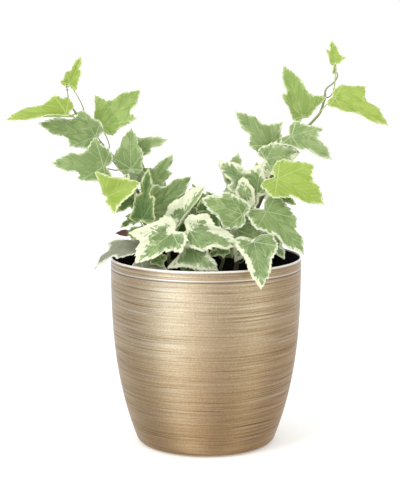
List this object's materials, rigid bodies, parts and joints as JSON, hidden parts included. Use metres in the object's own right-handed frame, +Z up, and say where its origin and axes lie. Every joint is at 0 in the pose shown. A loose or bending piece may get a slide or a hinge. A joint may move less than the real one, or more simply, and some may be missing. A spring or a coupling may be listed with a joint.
{
  "type": "potted variegated ivy",
  "caption": "Potted variegated ivy: lobed cream-edged leaves on climbing vines, growing in soil in a plastic pot inside a round brushed-gold cover pot.",
  "frame": {"origin": "middle of the cover pot's flat underside, on the pot's axis", "axes": "+Z up along the pot's axis, -Y towards the viewer who sees the front leaf hanging over the rim, +X to the viewer's right, where the tallest vine climbs"},
  "size_m": [0.255, 0.145, 0.275],
  "materials": {
    "brushed_gold_lacquer": "brushed gold lacquer outside with fine level streaks, matt black inside",
    "black_plastic": "black polypropylene, slightly rough",
    "potting_soil": "dark crumbly peat and bark mix",
    "vine_bark": "purple-brown bark turning green to the tips",
    "leaf_mature": "satin grey-green blade with pale veins and a narrow cream edge",
    "leaf_young": "satin fresh green blade with a cream edge",
    "leaf_lime": "satin lime-green young blade",
    "leaf_cream": "green heart with a wide, ragged cream edge",
    "leaf_dark": "deep green blade in the shade of the others",
    "leaf_grey": "old grey-green blade, lying over the rim"
  },
  "bodies": {
    "root": {"cover_pot": "brushed_gold_lacquer", "nursery_pot": "black_plastic", "soil": "potting_soil", "vine_a": "vine_bark", "vine_a_leaf_1": "leaf_mature", "vine_a_leaf_2": "leaf_mature", "vine_a_leaf_3": "leaf_young", "vine_a_leaf_4": "leaf_lime", "vine_a_leaf_5": "leaf_lime", "vine_b": "vine_bark", "vine_b_leaf_1": "leaf_mature", "vine_b_leaf_2": "leaf_mature", "vine_b_leaf_3": "leaf_cream", "vine_b_leaf_4": "leaf_mature", "vine_b_leaf_5": "leaf_cream", "vine_b_leaf_6": "leaf_mature", "vine_b_leaf_7": "leaf_mature", "vine_c": "vine_bark", "vine_c_leaf_1": "leaf_dark", "vine_c_leaf_2": "leaf_dark", "vine_c_leaf_3": "leaf_dark", "vine_c_leaf_4": "leaf_lime", "vine_c_leaf_5": "leaf_dark", "vine_d": "vine_bark", "vine_d_leaf_1": "leaf_cream", "vine_d_leaf_2": "leaf_cream", "vine_d_leaf_3": "leaf_grey", "vine_d_leaf_4": "leaf_dark", "vine_e": "vine_bark", "vine_e_leaf_1": "leaf_cream", "vine_e_leaf_2": "leaf_cream", "vine_e_leaf_3": "leaf_dark", "vine_e_leaf_4": "leaf_dark", "vine_f": "vine_bark", "vine_f_leaf_1": "leaf_cream", "vine_f_leaf_2": "leaf_mature", "vine_f_leaf_3": "leaf_mature", "vine_f_leaf_4": "leaf_cream", "vine_f_leaf_5": "leaf_cream", "vine_f_leaf_6": "leaf_cream", "vine_f_leaf_7": "leaf_cream", "vine_f_leaf_8": "leaf_mature", "vine_g": "vine_bark", "vine_g_leaf_1": "leaf_lime", "vine_g_leaf_2": "leaf_lime", "vine_g_leaf_3": "leaf_cream", "vine_g_leaf_4": "leaf_mature", "vine_g_leaf_5": "leaf_mature", "vine_g_leaf_6": "leaf_young", "vine_g_leaf_7": "leaf_lime", "vine_g_leaf_8": "leaf_lime", "vine_g_leaf_9": "leaf_dark", "vine_g_leaf_10": "leaf_mature", "vine_g_leaf_11": "leaf_mature", "vine_h": "vine_bark", "vine_h_leaf_1": "leaf_cream", "vine_h_leaf_2": "leaf_mature", "vine_h_leaf_3": "leaf_mature", "vine_h_leaf_4": "leaf_young", "vine_h_leaf_5": "leaf_cream"}
  },
  "joints": []
}
